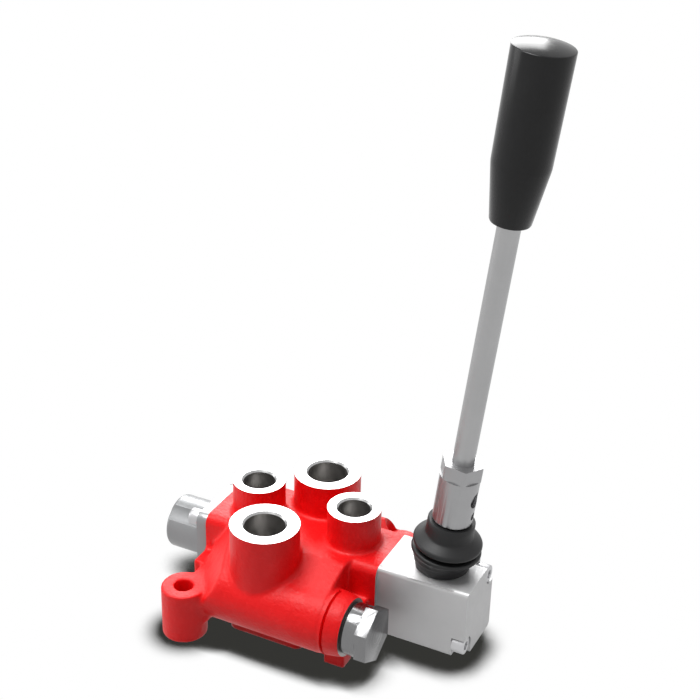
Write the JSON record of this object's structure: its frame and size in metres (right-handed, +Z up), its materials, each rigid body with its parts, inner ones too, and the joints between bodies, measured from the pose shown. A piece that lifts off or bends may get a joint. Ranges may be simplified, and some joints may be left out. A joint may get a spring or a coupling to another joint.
{
  "type": "hydraulic directional control valve",
  "caption": "Manual spool valve: cast body with work, inlet and outlet ports facing up, spring cap, relief plug, lever housing with boot, hub, rod and knob.",
  "frame": {"origin": "on the flat mounting pad under the casting, midway between the two work ports", "axes": "+X along the spool towards the lever housing, +Y away from the inlet port, +Z up out of the ports"},
  "size_m": [0.1835, 0.1021, 0.2933],
  "materials": {
    "red_paint": "semi-gloss red paint on cast iron, bare machined port faces",
    "plated_steel": "bright zinc plate",
    "hard_steel": "ground, hardened",
    "spring_steel": "drawn wire",
    "cast_aluminium": "satin die casting",
    "hub_steel": "turned, bright zinc plate",
    "seal_rubber": "smooth",
    "boot_rubber": "matt moulded",
    "seat_plastic": "machined acetal",
    "knob_plastic": "moulded, semi-gloss",
    "insert_brass": "turned"
  },
  "bodies": {
    "valve_body": {"valve_casting": "red_paint", "gallery_plug": "plated_steel", "gallery_plug_seal": "seal_rubber", "relief_seat": "hard_steel", "relief_spring": "spring_steel", "relief_shim": "plated_steel", "check_seat": "hard_steel", "check_spring": "spring_steel", "check_plug": "plated_steel", "spool_seal_cap_end": "seal_rubber", "spool_seal_lever_end": "seal_rubber", "spring_cap": "cast_aluminium", "cap_screws": "plated_steel", "cap_seal": "seal_rubber", "inner_spring_seat": "plated_steel", "centring_spring": "spring_steel", "lever_housing": "cast_aluminium", "housing_screws": "plated_steel", "housing_seal": "seal_rubber", "ball_seat": "seat_plastic", "ball_retainer": "plated_steel", "lever_boot": "boot_rubber"},
    "spool_body": {"spool": "hard_steel", "spring_bolt": "hard_steel", "outer_spring_seat": "plated_steel"},
    "lever": {"lever_stem": "hard_steel", "pivot_pin": "hard_steel", "lever_hub": "hub_steel", "hub_set_screw": "hard_steel", "lever_rod": "hub_steel", "lever_knob": "knob_plastic", "knob_insert": "insert_brass"},
    "relief_valve": {"relief_poppet": "hard_steel"},
    "check_valve": {"check_poppet": "hard_steel"}
  },
  "joints": [
    {"name": "lever_swing", "type": "hinge", "parent": "valve_body", "child": "lever", "pos_m": [0.071, 0, 0.0415], "axis": [0, 1, 0], "range_deg": [-18, 18], "stiffness_Nm_per_rad": 6, "deforming": ["lever_boot"]},
    {"name": "spool_slide", "type": "slide", "parent": "valve_body", "child": "spool_body", "axis": [1, 0, 0], "range_m": [-0.0049, 0.0049], "deforming": ["centring_spring"]},
    {"name": "relief_lift", "type": "slide", "parent": "valve_body", "child": "relief_valve", "axis": [1, 0, 0], "range_m": [0, 0.002], "stiffness_N_per_m": 2000, "springref_m": -0.001, "deforming": ["relief_spring"]},
    {"name": "check_lift", "type": "slide", "parent": "valve_body", "child": "check_valve", "axis": [0, 0, -1], "range_m": [0, 0.002], "stiffness_N_per_m": 300, "springref_m": -0.001, "deforming": ["check_spring"]}
  ],
  "couplings": [
    {"joint": "spool_slide", "follows": "lever_swing", "m_per_rad": -0.0155}
  ]
}
